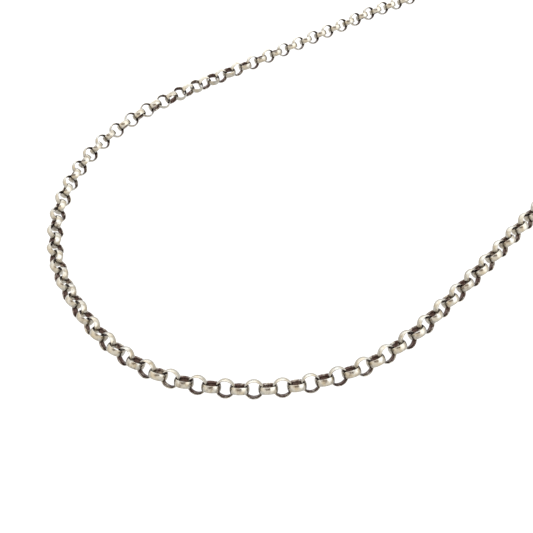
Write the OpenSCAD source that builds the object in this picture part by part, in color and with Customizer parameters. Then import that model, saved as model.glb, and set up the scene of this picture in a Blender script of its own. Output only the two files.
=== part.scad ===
// A rolo chain necklace, fastened and lying on a level surface as a closed loop.
// Round belcher links of domed band hang in each other, every second one leaning the other way.
// One plain spring ring joins the two ends. Lengths are in millimetres, and the surface is at z = 0.

/* [Link] */
// Outer diameter of a link
link_d = 4; // [3.6:0.1:4.8]
// Thickness of a link's band, at the top of its dome
band_t = 0.44; // [0.38:0.02:0.5]
// Width of a link's band
band_w = 1.42; // [1.1:0.02:1.6]
// Height of the dome on the outside of the band
dome_h = 0.14; // [0.06:0.02:0.2]
// Width of the bevel along each inside edge of the band
bevel_w = 0.4; // [0.2:0.05:0.4]
// Depth of that bevel into the band
bevel_h = 0.2; // [0.05:0.05:0.2]
// Slack left in each joint between two links
link_play = 0.25; // [0.15:0.05:0.4]

/* [Lie of the chain] */
// Lean of the links from level, to one side and then to the other
lean = 50; // [45:1:52]
// Sway of single links off that lean
sway = 1.5; // [0:0.5:2]

/* [Clasp] */
// Outer diameter of the clasp's ring
ring_d = 7.6; // [7:0.1:10]
// Thickness of the ring's wire
ring_wire = 1.3; // [1:0.1:1.5]
// Outer diameter of the eye on the ring
eye_d = 4.4; // [4.2:0.1:5]
// Thickness of the eye's wire
eye_wire = 0.8; // [0.6:0.1:0.9]
// Depth that the eye is set into the ring
eye_seat = 0.5; // [0.3:0.1:0.7]
// Diameter of the thumb knob
knob_d = 1.3; // [1:0.1:1.6]
// Height of the knob's centre above the ring's wire
knob_rise = 0.7; // [0.5:0.1:1]
// Place of the knob round the ring, from the side away from the eye
knob_turn = 50; // [30:5:120]
// Slack left between the clasp and the links that hang in it
clasp_play = 0.5; // [0.4:0.05:0.7]

/* [Hidden] */

// The line of the link centres seen from above, clockwise from the middle of the clasp's ring.
route = [
    [78, 64], [85.5, 52], [87.5, 38], [84.5, 24], [75.5, 11.5], [63, -0.5], [50, -13],
    [37, -25.5], [24, -37.5], [12.5, -48.5], [1, -59], [-9, -67.5], [-19.5, -73.5], [-32, -76.5],
    [-47.5, -76], [-60, -72], [-71, -63.5], [-79, -53], [-85, -40.5], [-87, -26], [-85, -13],
    [-79, 0.5], [-69.5, 11.5], [-59, 19.5], [-46, 27.5], [-33.5, 35], [-21, 42.5], [-8.5, 50],
    [2, 56.5], [12.5, 62], [22.5, 67.5], [33, 73], [44.5, 77], [57, 77], [69, 73]
];
// Twist of the chain about its own line: share of the route, degrees. Its ends set both end links steep,
// so that they stand across the clasp.
twists = [
    [0, 22], [0.1, 0], [0.3, 0], [0.34, -3], [0.4, -5], [0.47, -5], [0.5, -3], [0.53, 1],
    [0.58, 3], [0.63, 3], [0.66, -6], [0.7, -38], [0.74, -70], [0.79, -80], [0.92, -84], [1, -68]
];
// Turn of the sway from one link to the next, which keeps it from repeating.
sway_step = 137;
// How much lower than its neighbour a link can lie, and how many links away a tall one is felt.
joint_drop = 0.03;
lift_span = 5;
// Points that the curve gets between two route points.
route_steps = 12;
// Fineness of the round faces.
link_fn = 48;
dome_flats = 5;
clasp_fn = 64;

link_r = link_d / 2;
inner_r = link_r - band_t;
band_half = band_w / 2;
flat_half = band_half - bevel_w;
bevel_r = inner_r + bevel_h;
dome_r = (band_half * band_half + dome_h * dome_h) / (2 * dome_h);

ring_mean = (ring_d - ring_wire) / 2;
eye_mean = (eye_d - eye_wire) / 2;
eye_off = (ring_d + eye_d) / 2 - eye_seat;
ring_reach = ring_mean - ring_wire / 2 + inner_r - clasp_play;
eye_reach = eye_off + eye_mean - eye_wire / 2 + inner_r - clasp_play;

// Length of the other side of a right triangle.
function side(long, short) = sqrt(long * long - short * short);

// The band's section, as distance from the link's axis and place across the band. The dome is in narrow flats.
band_outline = concat(
    [
        for (j = [0:dome_flats])
            let (across = (2 * j / dome_flats - 1) * band_half)
            [link_r - dome_r + side(dome_r, across), across]
    ],
    [[bevel_r, band_half], [inner_r, flat_half], [inner_r, -flat_half], [bevel_r, -band_half]]
);

// Distance between two link centres at which the edges of their bands would touch.
taut_pitch = min(
    2 * side(inner_r, flat_half),
    2 * side(bevel_r, band_half),
    side(inner_r, band_half) + side(bevel_r, flat_half)
);

// The route as a smooth closed curve.
route_n = len(route);
leg = [for (i = [0:route_n - 1]) norm(route[(i + 1) % route_n] - route[i])];
way = [for (i = [0:route_n - 1]) (route[(i + 1) % route_n] - route[i]) / leg[i]];
function before(i) = (i + route_n - 1) % route_n;
slope = [
    for (i = [0:route_n - 1])
        (way[i] * leg[before(i)] + way[before(i)] * leg[i]) / (leg[i] + leg[before(i)])
];
function curve(i, t) =
    let (next = (i + 1) % route_n, tt = t * t, ttt = t * t * t)
    (2 * ttt - 3 * tt + 1) * route[i] + (3 * tt - 2 * ttt) * route[next]
    + ((ttt - 2 * tt + t) * slope[i] + (ttt - tt) * slope[next]) * leg[i];
line = [
    for (i = [0:route_n - 1], j = [0:route_steps - 1]) curve(i, j / route_steps),
    route[0]
];
run = [
    for (i = 0, s = 0; i < len(line); s = s + norm(line[min(i + 1, len(line) - 1)] - line[i]), i = i + 1) s
];
route_len = run[len(run) - 1];
line_x = [for (i = [0:len(line) - 1]) [run[i], line[i].x]];
line_y = [for (i = [0:len(line) - 1]) [run[i], line[i].y]];
function place(s) =
    let (m = (s + route_len) % route_len)
    [lookup(m, line_x), lookup(m, line_y)];
function heading(s) =
    let (d = place(s + taut_pitch / 2) - place(s - taut_pitch / 2))
    atan2(d.y, d.x);

// An even number of links makes both end links lean alike, because the chain holds a quarter turn.
chain_len = route_len - ring_reach - eye_reach;
gaps = 2 * ceil((chain_len / (taut_pitch - link_play) - 1) / 2) + 1;
links = gaps + 1;
pitch = chain_len / gaps;
half = floor(links / 2);

// Half the angle at which neighbours cross: the lean where there is no twist, and 45 degrees halfway through
// a quarter turn of it. After that turn the two leans have changed places, and all links are as steep as before.
function half_cross(twist) = 45 + (lean - 45) * cos(2 * twist);

function along(i) = ring_reach + i * pitch;
function tilt(i) =
    let (twist = lookup(along(i) / route_len, twists))
    (i % 2 == 0 ? 1 : -1) * half_cross(twist) + twist + sway * sin(sway_step * i);

// Depth that a link tilted by t reaches below its centre.
function depth(t) = max([for (p = band_outline) p.x * abs(sin(t)) + p.y * abs(cos(t))]);

// A link lies on the surface, or is held up by taller ones nearby.
function lift(i) = max([
    for (j = [max(i - lift_span, 0):min(i + lift_span, links - 1)])
        depth(tilt(j)) - joint_drop * abs(i - j)
]);

module link(i) {
    translate([place(along(i)).x, place(along(i)).y, lift(i)])
        rotate([0, 0, heading(along(i))])
            rotate([tilt(i), 0, 0])
                rotate_extrude($fn = link_fn) polygon(band_outline);
}

module right_chain() {
    color("#b9b09a")
        for (i = [0:half - 1])
            link(i);
}

module left_chain() {
    color("#aaa28e")
        for (i = [half:links - 1])
            link(i);
}

module wire_ring(mean_r, wire) {
    rotate_extrude($fn = clasp_fn)
        translate([mean_r, 0]) circle(d = wire, $fn = clasp_fn);
}

module thumb_knob() {
    rotate([0, 0, -knob_turn])
        translate([ring_mean + ring_wire / 2 + knob_rise, 0, 0]) {
            sphere(d = knob_d, $fn = clasp_fn);
            rotate([0, -90, 0])
                cylinder(d = knob_d / 2, h = knob_rise + ring_wire / 2, $fn = clasp_fn);
        }
}

// The ring lies between the two end links, on the surface with one side and tilted up to their centres.
module clasp() {
    ahead = place(along(0));
    behind = place(along(gaps));
    middle = behind + (ahead - behind) * eye_reach / (ring_reach + eye_reach);
    rise = (lift(0) + lift(gaps)) / 2;
    ring_tilt = asin((rise - ring_wire / 2) / ring_mean);
    color("#c4bca8")
        translate([middle.x, middle.y, rise])
            rotate([0, 0, atan2(ahead.y - behind.y, ahead.x - behind.x)])
                rotate([-ring_tilt, 0, 0])
                    union() {
                        wire_ring(ring_mean, ring_wire);
                        translate([-eye_off, 0, 0]) wire_ring(eye_mean, eye_wire);
                        thumb_knob();
                    }
}

right_chain();
left_chain();
clasp();
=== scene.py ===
"""A worn silver rolo chain necklace on a white sheet.

The frame holds the links and the clasp at their real size and place. Each link is found in its
node's mesh and dressed with a finer band of the same size. Lengths are metres in the row frame.
"""
import math

import bpy
import numpy as np
from mathutils import Matrix, Vector


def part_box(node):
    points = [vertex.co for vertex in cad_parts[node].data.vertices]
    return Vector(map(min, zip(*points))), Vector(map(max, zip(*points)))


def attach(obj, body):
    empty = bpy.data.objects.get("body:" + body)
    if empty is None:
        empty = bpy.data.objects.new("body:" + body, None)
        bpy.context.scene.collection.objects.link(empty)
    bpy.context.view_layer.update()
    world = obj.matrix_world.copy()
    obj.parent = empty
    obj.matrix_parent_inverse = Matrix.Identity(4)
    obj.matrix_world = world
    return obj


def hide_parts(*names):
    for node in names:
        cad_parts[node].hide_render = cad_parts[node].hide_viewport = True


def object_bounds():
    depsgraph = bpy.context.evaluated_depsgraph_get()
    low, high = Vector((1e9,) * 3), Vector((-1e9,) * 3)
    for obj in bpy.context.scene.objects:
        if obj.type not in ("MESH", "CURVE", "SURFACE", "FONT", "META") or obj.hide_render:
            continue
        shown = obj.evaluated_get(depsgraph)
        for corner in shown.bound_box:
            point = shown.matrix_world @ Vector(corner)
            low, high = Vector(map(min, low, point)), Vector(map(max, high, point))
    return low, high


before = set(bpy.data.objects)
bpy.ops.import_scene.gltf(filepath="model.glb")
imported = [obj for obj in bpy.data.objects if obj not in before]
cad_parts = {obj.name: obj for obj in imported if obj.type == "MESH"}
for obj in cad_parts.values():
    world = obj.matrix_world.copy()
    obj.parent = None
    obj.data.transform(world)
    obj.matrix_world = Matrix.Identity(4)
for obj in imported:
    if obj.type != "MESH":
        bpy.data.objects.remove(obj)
cad_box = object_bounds()

MM = 0.001

# Camera of the photograph, fitted to the places of the links.
CAMERA_PLACE = Vector((-37.0, -138.0, 115.2)) * MM
CAMERA_DOWN = math.radians(51.0)
CAMERA_ROLL = math.radians(-3.67)
CAMERA_LENS_MM = 43.9
CAMERA_SENSOR_MM = 36.0
CAMERA_CLIP = 1.0 * MM

# Reading a link from the frame's mesh: the grid on which vertices count as equal, and the
# difference up to which two of the band's measures do.
WELD_GRID = 0.001 * MM
SAME_SIZE = 0.01 * MM

# Detail of the dressed band: steps round the link, over the dome and round each corner.
ROUND_STEPS = 42
DOME_STEPS = 8
CORNER_STEPS = 2
RIM_ROUND = 0.07 * MM
BEVEL_ROUND = 0.1 * MM
# Share of the dome's arc that the rounded rims leave, and of an edge that a corner takes at most.
DOME_SHARE = 0.9
CORNER_SHARE = 0.45

# Wear on the mesh, the same in each run. Depth and size of a dent are the least and the most.
SEED = 7
DENTS_PER_LINK = 5
DENT_DEPTH = (0.0054 * MM, 0.018 * MM)
DENT_SIZE = (0.27 * MM, 0.63 * MM)
# Marks of the mesh that the finish reads.
MARKS = ("inside", "nested_patina_and_shade", "crevice_patina_and_shade", "seam", "tone")
# The inside mark on the inner face, at the bevel's outer edge, on the rim's flat and on the dome,
# and half the width in which it changes from the rim to the dome.
INSIDE_STEPS = (0.9, 0.56, 0.4, 0.1)
RIM_BLEND = 0.02 * MM
# The other marks are full up to the first distance and gone at the second: from the seam's middle,
# from the middle of a neighbour's band, and from a neighbour's plane and axis.
SEAM_EDGES = (0.045 * MM, 0.225 * MM)
# The crevice mark darkens the metal near a neighbour's band: tarnish, and painted shade where the
# links meet.
CREVICE_EDGES = (0.45 * MM, 1.15 * MM)
# The nested mark darkens the part of a link inside a neighbour's hole: tarnish, and painted shade
# from the neighbour's band.
NESTED_HIGH = (0.8 * MM, 1.6 * MM)
NESTED_FLAT = (1.4 * MM, 1.9 * MM)

# Colours of the silver: clean, under its warm film, fully tarnished, and along the seam.
CLEAN = (0.40, 0.38, 0.332, 1)
WARM = (0.37, 0.32, 0.24, 1)
# The fully tarnished colour is also the painted shade between links.
DARK = (0.062, 0.038, 0.031, 1)
SOLDER = (0.25, 0.21, 0.15, 1)
SEAM_SHARE = 0.6
# Roughness, the least and the most, and what full tarnish adds to it.
ROUGH = (0.14, 0.26)
TARNISH_ROUGH = 0.1
# What the marks, the patches and the difference from link to link add to the depth of tarnish and,
# where links meet, of painted shade; the depth of metal without marks, and the depths at which the
# darkening begins and is full.
NESTED_TARNISH_AND_SHADE = 0.25
CREVICE_TARNISH_AND_SHADE = 0.25
PATCHES = 0.3
TONES = 0.25
PLAIN_TARNISH = 0.3
TARNISH_AND_SHADE_RANGE = (0.1, 0.9)
# Noise in the metal: scale, detail and roughness, and the parts of its range in use.
FILM_NOISE = (900.0, 4.0, 0.55)
GLOSS_NOISE = (2200.0, 3.0, 0.55)
PATCH_NOISE = (1500.0, 4.0, 0.65)
UNEVEN_NOISE = (1100.0, 2.0, 0.55)
SCRATCH_NOISE = (5200.0, 5.0, 0.7)
FILM_RANGE = (0.38, 0.66)
NOISE_RANGE = (0.3, 0.7)
# Relief of the uneven metal, and the share that fine scratches have in it.
RELIEF = 0.03 * MM
RELIEF_STRENGTH = 0.6
SCRATCH_SHARE = 0.12

# The sheet: its sides, its gap under the chain, its colour and its own light.
FLOOR_SIZE = 4.0
FLOOR_GAP = 0.005 * MM
FLOOR_COLOUR = (0.1, 0.1, 0.1, 1)
FLOOR_GLOW_COLOUR = (1, 1, 1, 1)
FLOOR_GLOW = 1.0

# Light of the room, and soft lights in it, behind the necklace, on its right and above its left:
# azimuth, elevation, outer and inner half angle in degrees, and strength.
AMBIENT = 1.62
SOFT_LIGHTS = (
    (-10, 18, 60, 10, 1.2),
    (105, 42, 48, 10, 1.6),
    (-100, 60, 60, 5, 0.6),
)
# Dark shapes of the photographer, given in the same way, with the share of light left there.
DARK_SHAPES = (
    (157, 52, 18, 5, 0.15),
    (180, 50, 14, 4, 0.5),
    (203, 48, 18, 5, 0.2),
    (230, 45, 18, 5, 0.6),
)
# Colour of the room's own light, of the soft lights, and of what the dark shapes leave.
ROOM_COLOUR = (1.0, 0.968, 0.91, 1)
SOFT_COLOUR = (0.95, 1.0, 1.07, 1)
DARK_COLOUR = (1.0, 0.8, 0.68, 1)


def loose_parts(mesh):
    """Places of the vertices of each loose solid, in the mesh's own order."""
    places = np.empty(len(mesh.vertices) * 3)
    mesh.vertices.foreach_get("co", places)
    places = places.reshape(-1, 3)
    mesh.calc_loop_triangles()
    corners = np.empty(len(mesh.loop_triangles) * 3, np.int64)
    mesh.loop_triangles.foreach_get("vertices", corners)
    # The frame's mesh repeats a vertex for each face that meets there, so equal ones are welded.
    grid = np.round(places / WELD_GRID).astype(np.int64)
    _, first, weld = np.unique(grid, axis=0, return_index=True, return_inverse=True)
    weld = weld.ravel()
    triangles = weld[corners].reshape(-1, 3)
    # Each vertex takes the lowest number that it is joined to, until nothing changes.
    part = np.arange(len(first))
    while True:
        lowest = part.copy()
        np.minimum.at(lowest, triangles.ravel(), np.repeat(part[triangles].min(axis=1), 3))
        lowest = lowest[lowest]
        if (lowest == part).all():
            break
        part = lowest
    groups = {}
    for vertex, root in enumerate(part[weld]):
        groups.setdefault(root, set()).add(int(first[weld[vertex]]))
    return [places[sorted(members)] for members in groups.values()]


def ring_pose(places):
    """Centre and axis of a ring from its vertices."""
    centre = places.mean(axis=0)
    spread = (places - centre).T @ (places - centre)
    _, vectors = np.linalg.eigh(spread)
    return centre, vectors[:, 0]


def in_order(poses, start):
    """The poses as a walk from the one nearest to start, always on to the nearest one left."""
    left = list(poses)
    here = start
    order = []
    while left:
        nearest = min(range(len(left)), key=lambda i: np.linalg.norm(left[i][0] - here))
        order.append(left.pop(nearest))
        here = order[-1][0]
    return order


def band_corners(places, centre, axis):
    """Sizes of a link's band from its vertices: four radii, half its width, and half its flat's."""
    away = places - centre
    across = np.abs(away @ axis)
    radius = np.linalg.norm(away - np.outer(away @ axis, axis), axis=1)
    half = across.max()
    side = across > half - SAME_SIZE
    inner = radius.min()
    return {
        "outer": radius.max(),
        "rim": radius[side].max(),
        "bevel": radius[side].min(),
        "inner": inner,
        "half": half,
        "flat": across[radius < inner + SAME_SIZE].max(),
    }


def rounded(corner, before, after, size):
    """A corner as a short curve that starts and ends at most size from it."""
    ends = []
    for other in (before, after):
        way = other - corner
        ends.append(corner + way * min(size / np.linalg.norm(way), CORNER_SHARE))
    return [
        ends[0] * (1 - t) ** 2 + corner * 2 * t * (1 - t) + ends[1] * t**2
        for t in np.linspace(0, 1, CORNER_STEPS + 1)
    ]


def band_section(size):
    """The band's closed section, as (distance from the axis, place across), and its inside mark."""
    half, outer, rim = size["half"], size["outer"], size["rim"]
    drop = outer - rim
    dome_radius = (half**2 + drop**2) / (2 * drop)
    arc = DOME_SHARE * math.asin(half / dome_radius)
    dome = [
        np.array((outer - dome_radius * (1 - math.cos(turn)), dome_radius * math.sin(turn)))
        for turn in np.linspace(-arc, arc, DOME_STEPS + 1)
    ]
    rim_corner = np.array((rim, half))
    bevel_corner = np.array((size["bevel"], half))
    flat_corner = np.array((size["inner"], size["flat"]))
    flat_middle = flat_corner * (1, 0)
    upper = rounded(rim_corner, dome[-1], bevel_corner, RIM_ROUND)
    upper += rounded(bevel_corner, rim_corner, flat_corner, BEVEL_ROUND)
    upper += rounded(flat_corner, bevel_corner, flat_middle, BEVEL_ROUND)
    lower = [point * (1, -1) for point in reversed(upper)]
    section = np.array(dome + upper + lower)
    radii = (size["inner"], size["bevel"], rim - RIM_BLEND, rim + RIM_BLEND)
    return section, np.interp(section[:, 0], radii, INSIDE_STEPS)


def fade(distance, full, gone):
    """1 up to the distance full, 0 from the distance gone, and smooth between them."""
    t = np.clip((distance - full) / (gone - full), 0.0, 1.0)
    return 1 - t * t * (3 - 2 * t)


def turn_between(turns, turn):
    """The smaller angle between each of the turns and one turn."""
    return np.abs((turns - turn + math.pi) % math.tau - math.pi)


def dents(rng, turns, section, mid_radius):
    """How far each point of one link is pressed in: a few shallow dents on its outside."""
    depth = np.zeros((len(turns), len(section)))
    outside = section[:, 0] > mid_radius
    for _ in range(DENTS_PER_LINK):
        turn = rng.uniform(0, math.tau)
        across = rng.uniform(-1, 1) * section[:, 1].max()
        size = rng.uniform(*DENT_SIZE)
        press = rng.uniform(*DENT_DEPTH)
        around = turn_between(turns, turn) * section[:, 0].max()
        far = np.hypot(around[:, None], section[:, 1] - across)
        depth += press * np.exp(-((far / size) ** 2)) * outside
    return depth


def link_surface(pose, along, turns, section, pressed):
    """Places of one link's vertices, all round from the way along the chain."""
    centre, axis = pose
    along = along - axis * (along @ axis)
    along /= np.linalg.norm(along)
    spokes = np.outer(np.cos(turns), along) + np.outer(np.sin(turns), np.cross(axis, along))
    reach = section[:, 0] - pressed
    places = centre + spokes[:, None] * reach[..., None] + axis * section[:, 1:]
    return places.reshape(-1, 3)


def neighbour_marks(surface, neighbours, mid_radius):
    """How far each point of a link lies in a neighbour's hole, and how near to its band: the places
    of tarnish and painted shade between links.
    """
    nested_patina_and_shade = np.zeros(len(surface))
    nearest = np.full(len(surface), np.inf)
    for centre, axis in neighbours:
        away = surface - centre
        high = away @ axis
        flat = np.linalg.norm(away - high[:, None] * axis, axis=1)
        nearest = np.minimum(nearest, np.hypot(flat - mid_radius, high))
        in_hole = fade(np.abs(high), *NESTED_HIGH) * fade(flat, *NESTED_FLAT)
        nested_patina_and_shade = np.maximum(nested_patina_and_shade, in_hole)
    return nested_patina_and_shade, fade(nearest, *CREVICE_EDGES)


def ring_faces(rounds, points, rings):
    """Quads of several closed rings, each with rounds times points vertices."""
    i, j = np.meshgrid(np.arange(rounds), np.arange(points), indexing="ij")
    i, j = i.ravel(), j.ravel()
    next_i, next_j = (i + 1) % rounds, (j + 1) % points
    corners = ((i, j), (next_i, j), (next_i, next_j), (i, next_j))
    one = np.stack([around * points + across for around, across in corners], 1)
    offsets = np.arange(rings) * rounds * points
    return (one[None] + offsets[:, None, None]).reshape(-1, 4)


def dress_chain(name, node, start, seed):
    """One mesh of fine, marked links in the places of the node's loose solids."""
    parts = loose_parts(node.data)
    poses = [ring_pose(part) for part in parts]
    size = band_corners(parts[0], *poses[0])
    section, inside = band_section(size)
    mid_radius = (size["outer"] + size["inner"]) / 2
    poses = in_order(poses, start)
    rng = np.random.default_rng(seed)
    turns = np.linspace(0, math.tau, ROUND_STEPS, endpoint=False)
    surfaces, marks = [], []
    for number, pose in enumerate(poses):
        before, after = max(number - 1, 0), min(number + 1, len(poses) - 1)
        neighbours = [poses[i] for i in (before, after) if i != number]
        along = poses[after][0] - poses[before][0]
        pressed = dents(rng, turns, section, mid_radius)
        surface = link_surface(pose, along, turns, section, pressed)
        from_seam = turn_between(turns, rng.uniform(0, math.tau)) * mid_radius
        seam = np.repeat(fade(from_seam, *SEAM_EDGES), len(section))
        tone = np.full(len(surface), rng.uniform())
        nested_patina_and_shade, crevice_patina_and_shade = neighbour_marks(surface, neighbours, mid_radius)
        surfaces.append(surface)
        marks.append((np.tile(inside, ROUND_STEPS), nested_patina_and_shade, crevice_patina_and_shade, seam, tone))
    mesh = bpy.data.meshes.new(name)
    faces = ring_faces(ROUND_STEPS, len(section), len(poses))
    mesh.from_pydata(np.concatenate(surfaces).tolist(), [], faces.tolist())
    for mark, values in zip(MARKS, np.concatenate(marks, axis=1)):
        layer = mesh.attributes.new(mark, "FLOAT", "POINT")
        layer.data.foreach_set("value", values.astype(np.float32))
    mesh.shade_smooth()
    piece = bpy.data.objects.new(name, mesh)
    bpy.context.scene.collection.objects.link(piece)
    return piece


class Nodes:
    """A node tree, built line by line."""

    def __init__(self, tree):
        self.nodes, self.links = tree.nodes, tree.links

    def add(self, kind, sockets=None, **settings):
        """A node with its settings, and its sockets set to values or linked to other sockets."""
        node = self.nodes.new(kind)
        for key, value in settings.items():
            setattr(node, key, value)
        for key, value in (sockets or {}).items():
            self.put(node.inputs[key], value)
        return node

    def put(self, socket, value):
        if isinstance(value, bpy.types.NodeSocket):
            self.links.new(value, socket)
        else:
            socket.default_value = value

    def mark(self, name):
        return self.add("ShaderNodeAttribute", attribute_name=name).outputs["Fac"]

    def noise(self, scale, detail, rough):
        place = self.add("ShaderNodeTexCoord").outputs["Object"]
        sockets = {"Vector": place, "Scale": scale, "Detail": detail, "Roughness": rough}
        return self.add("ShaderNodeTexNoise", sockets).outputs["Fac"]

    def ramp(self, value, low, high, to_low=0.0, to_high=1.0):
        sockets = {0: value, 1: low, 2: high, 3: to_low, 4: to_high}
        node = self.add("ShaderNodeMapRange", sockets, interpolation_type="SMOOTHSTEP")
        return node.outputs[0]

    def math(self, operation, a, b):
        return self.add("ShaderNodeMath", {0: a, 1: b}, operation=operation).outputs[0]

    def mix(self, factor, a, b):
        return self.add("ShaderNodeMix", {0: factor, 6: a, 7: b}, data_type="RGBA").outputs[2]

    def dot(self, a, b):
        node = self.add("ShaderNodeVectorMath", {0: a, 1: b}, operation="DOT_PRODUCT")
        return node.outputs["Value"]


def worn_silver(name, marked):
    """Silver under a warm film, with patches of tarnish that follow the mesh's marks, if any, and
    painted shade where links meet.
    """
    material = bpy.data.materials.new(name)
    material.use_nodes = True
    tree = Nodes(material.node_tree)
    surface = tree.nodes["Principled BSDF"]
    film = tree.ramp(tree.noise(*FILM_NOISE), *FILM_RANGE)
    colour = tree.mix(film, CLEAN, WARM)
    rough = tree.ramp(tree.noise(*GLOSS_NOISE), *NOISE_RANGE, *ROUGH)
    depth = PLAIN_TARNISH
    if marked:
        # Inside a neighbour's hole the metal is darkened: tarnish, and painted shade from the
        # neighbour's band.
        nested_patina_and_shade = tree.math("MULTIPLY", tree.mark("nested_patina_and_shade"), NESTED_TARNISH_AND_SHADE)
        # Near a neighbour's band the metal is darkened: tarnish, and painted shade where the links
        # meet.
        crevice_patina_and_shade = tree.math("MULTIPLY", tree.mark("crevice_patina_and_shade"), CREVICE_TARNISH_AND_SHADE)
        tone = tree.math("MULTIPLY", tree.math("SUBTRACT", tree.mark("tone"), 0.5), TONES)
        hollow = tree.math("MAXIMUM", nested_patina_and_shade, crevice_patina_and_shade)
        depth = tree.math("ADD", tree.math("MAXIMUM", tree.mark("inside"), hollow), tone)
        seam = tree.math("MULTIPLY", tree.mark("seam"), SEAM_SHARE)
        colour = tree.mix(seam, colour, SOLDER)
    patch = tree.ramp(tree.noise(*PATCH_NOISE), *NOISE_RANGE, -PATCHES, PATCHES)
    # Tarnish, and painted shade between links, mix the metal towards the dark colour.
    tarnish_and_shade = tree.ramp(tree.math("ADD", patch, depth), *TARNISH_AND_SHADE_RANGE)
    colour = tree.mix(tarnish_and_shade, colour, DARK)
    rough = tree.math("ADD", rough, tree.math("MULTIPLY", tarnish_and_shade, TARNISH_ROUGH))
    scratch = tree.math("MULTIPLY", tree.noise(*SCRATCH_NOISE), SCRATCH_SHARE)
    height = tree.math("ADD", tree.noise(*UNEVEN_NOISE), scratch)
    sockets = {"Height": height, "Distance": RELIEF, "Strength": RELIEF_STRENGTH}
    bump = tree.add("ShaderNodeBump", sockets)
    tree.put(surface.inputs["Base Color"], colour)
    tree.put(surface.inputs["Roughness"], rough)
    tree.put(surface.inputs["Normal"], bump.outputs["Normal"])
    surface.inputs["Metallic"].default_value = 1.0
    return material


def floor():
    """A plain white sheet, so brightly lit that it shows no shadow."""
    mesh = bpy.data.meshes.new("floor")
    h = FLOOR_SIZE / 2
    mesh.from_pydata([(-h, -h, 0), (h, -h, 0), (h, h, 0), (-h, h, 0)], [], [(0, 1, 2, 3)])
    piece = bpy.data.objects.new("floor", mesh)
    piece.location.z = cad_box[0][2] - FLOOR_GAP
    bpy.context.scene.collection.objects.link(piece)
    material = bpy.data.materials.new("white_sheet")
    material.use_nodes = True
    surface = material.node_tree.nodes["Principled BSDF"]
    surface.inputs["Base Color"].default_value = FLOOR_COLOUR
    surface.inputs["Roughness"].default_value = 1.0
    surface.inputs["Emission Color"].default_value = FLOOR_GLOW_COLOUR
    surface.inputs["Emission Strength"].default_value = FLOOR_GLOW
    mesh.materials.append(material)


def direction(azimuth, elevation):
    """A way into the room: azimuth turns from straight away from the viewer to the right."""
    azimuth, elevation = math.radians(azimuth), math.radians(elevation)
    level = math.cos(elevation)
    return Vector((level * math.sin(azimuth), level * math.cos(azimuth), math.sin(elevation)))


def studio():
    """Soft light from the whole room, with dark shapes where the photographer stands."""
    world = bpy.data.worlds.new("studio")
    bpy.context.scene.world = world
    world.use_nodes = True
    tree = Nodes(world.node_tree)
    way = tree.add("ShaderNodeTexCoord").outputs["Generated"]

    def soft_shape(azimuth, elevation, wide, narrow, outside, inside):
        near = tree.dot(way, direction(azimuth, elevation))
        edges = [math.cos(math.radians(angle)) for angle in (wide, narrow)]
        return tree.ramp(near, *edges, outside, inside)

    glow, shade = 0.0, 1.0
    for *shape, strength in SOFT_LIGHTS:
        glow = tree.math("ADD", soft_shape(*shape, 0.0, strength), glow)
    for *shape, left in DARK_SHAPES:
        shade = tree.math("MULTIPLY", soft_shape(*shape, 1.0, left), shade)
    colour = tree.mix(tree.ramp(glow, 0.0, 1.0), ROOM_COLOUR, SOFT_COLOUR)
    light = tree.math("MULTIPLY", tree.math("ADD", glow, AMBIENT), shade)
    background = tree.nodes["Background"]
    tree.put(background.inputs["Color"], tree.mix(shade, DARK_COLOUR, colour))
    tree.put(background.inputs["Strength"], light)


def camera():
    """The photograph's camera, and colours shown as they are."""
    data = bpy.data.cameras.new("camera")
    data.sensor_width = CAMERA_SENSOR_MM
    data.lens = CAMERA_LENS_MM
    data.clip_start = CAMERA_CLIP
    piece = bpy.data.objects.new("camera", data)
    piece.matrix_world = (
        Matrix.Translation(CAMERA_PLACE)
        @ Matrix.Rotation(math.pi / 2 - CAMERA_DOWN, 4, "X")
        @ Matrix.Rotation(CAMERA_ROLL, 4, "Z")
    )
    bpy.context.scene.collection.objects.link(piece)
    bpy.context.scene.camera = piece
    bpy.context.scene.view_settings.view_transform = "Standard"


clasp_low, clasp_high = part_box("clasp")
clasp_centre = np.array((clasp_low + clasp_high) / 2)
chain_finish = worn_silver("worn_silver", marked=True)
for number, side in enumerate(("right_chain", "left_chain")):
    links_piece = dress_chain(side + "_links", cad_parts[side], clasp_centre, SEED + number)
    links_piece.data.materials.append(chain_finish)
    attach(links_piece, "root")
    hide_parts(side)
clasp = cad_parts["clasp"]
clasp.data.materials.clear()
clasp.data.materials.append(worn_silver("clasp_silver", marked=False))

floor()
studio()
camera()
